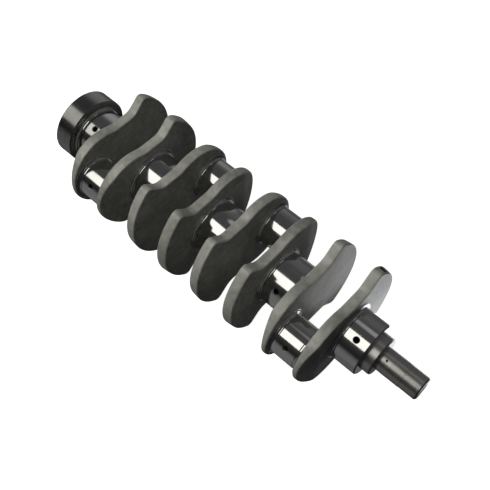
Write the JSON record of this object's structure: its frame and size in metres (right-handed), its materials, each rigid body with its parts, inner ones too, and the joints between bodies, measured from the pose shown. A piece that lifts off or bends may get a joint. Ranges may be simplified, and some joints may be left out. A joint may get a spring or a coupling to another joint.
{
  "type": "crankshaft",
  "caption": "Forged flat-plane crankshaft for a small in-line four-cylinder engine, with counterweights, oil drillings, a stepped snout and a flywheel flange with a pilot bearing.",
  "frame": {"origin": "on the crank axis at the middle of main journal 3", "axes": "+X along the crank axis towards the snout; +Y along the throws of crankpins 2 and 3; +Z square to the plane of the throws"},
  "size_m": [0.4925, 0.143, 0.1124],
  "materials": {
    "forged_steel": "as forged, shot blasted, dark satin grey with worn edges",
    "ground_steel": "ground and polished bearing surface",
    "turned_steel": "fine turned steel",
    "hardened_steel": "ground hardened steel",
    "bearing_steel": "polished bearing steel",
    "cage_brass": "pressed brass",
    "shield_steel": "pressed steel sheet"
  },
  "bodies": {
    "crankshaft": {"front_snout": "turned_steel", "pump_drive_seat": "turned_steel", "main_journal_1": "ground_steel", "main_journal_2": "ground_steel", "main_journal_3": "ground_steel", "main_journal_4": "ground_steel", "main_journal_5": "ground_steel", "crankpin_1": "ground_steel", "crankpin_2": "ground_steel", "crankpin_3": "ground_steel", "crankpin_4": "ground_steel", "web_1": "forged_steel", "web_2": "forged_steel", "web_3": "forged_steel", "web_4": "forged_steel", "web_5": "forged_steel", "web_6": "forged_steel", "web_7": "forged_steel", "web_8": "forged_steel", "rear_flange": "turned_steel", "woodruff_key": "hardened_steel", "flywheel_dowel": "hardened_steel", "pilot_outer_ring": "bearing_steel", "pilot_shield_front": "shield_steel", "pilot_shield_rear": "shield_steel"},
    "pilot_inner": {"pilot_inner_ring": "bearing_steel"},
    "pilot_ball_set": {"pilot_balls": "bearing_steel", "pilot_cage": "cage_brass"}
  },
  "joints": [
    {"name": "pilot_inner_spin", "type": "hinge", "parent": "crankshaft", "child": "pilot_inner", "pos_m": [-0.2185, 0, 0], "axis": [1, 0, 0], "continuous": true},
    {"name": "pilot_ball_set_spin", "type": "hinge", "parent": "crankshaft", "child": "pilot_ball_set", "pos_m": [-0.2185, 0, 0], "axis": [1, 0, 0], "continuous": true}
  ],
  "couplings": [
    {"joint": "pilot_ball_set_spin", "follows": "pilot_inner_spin", "ratio": 0.382}
  ]
}
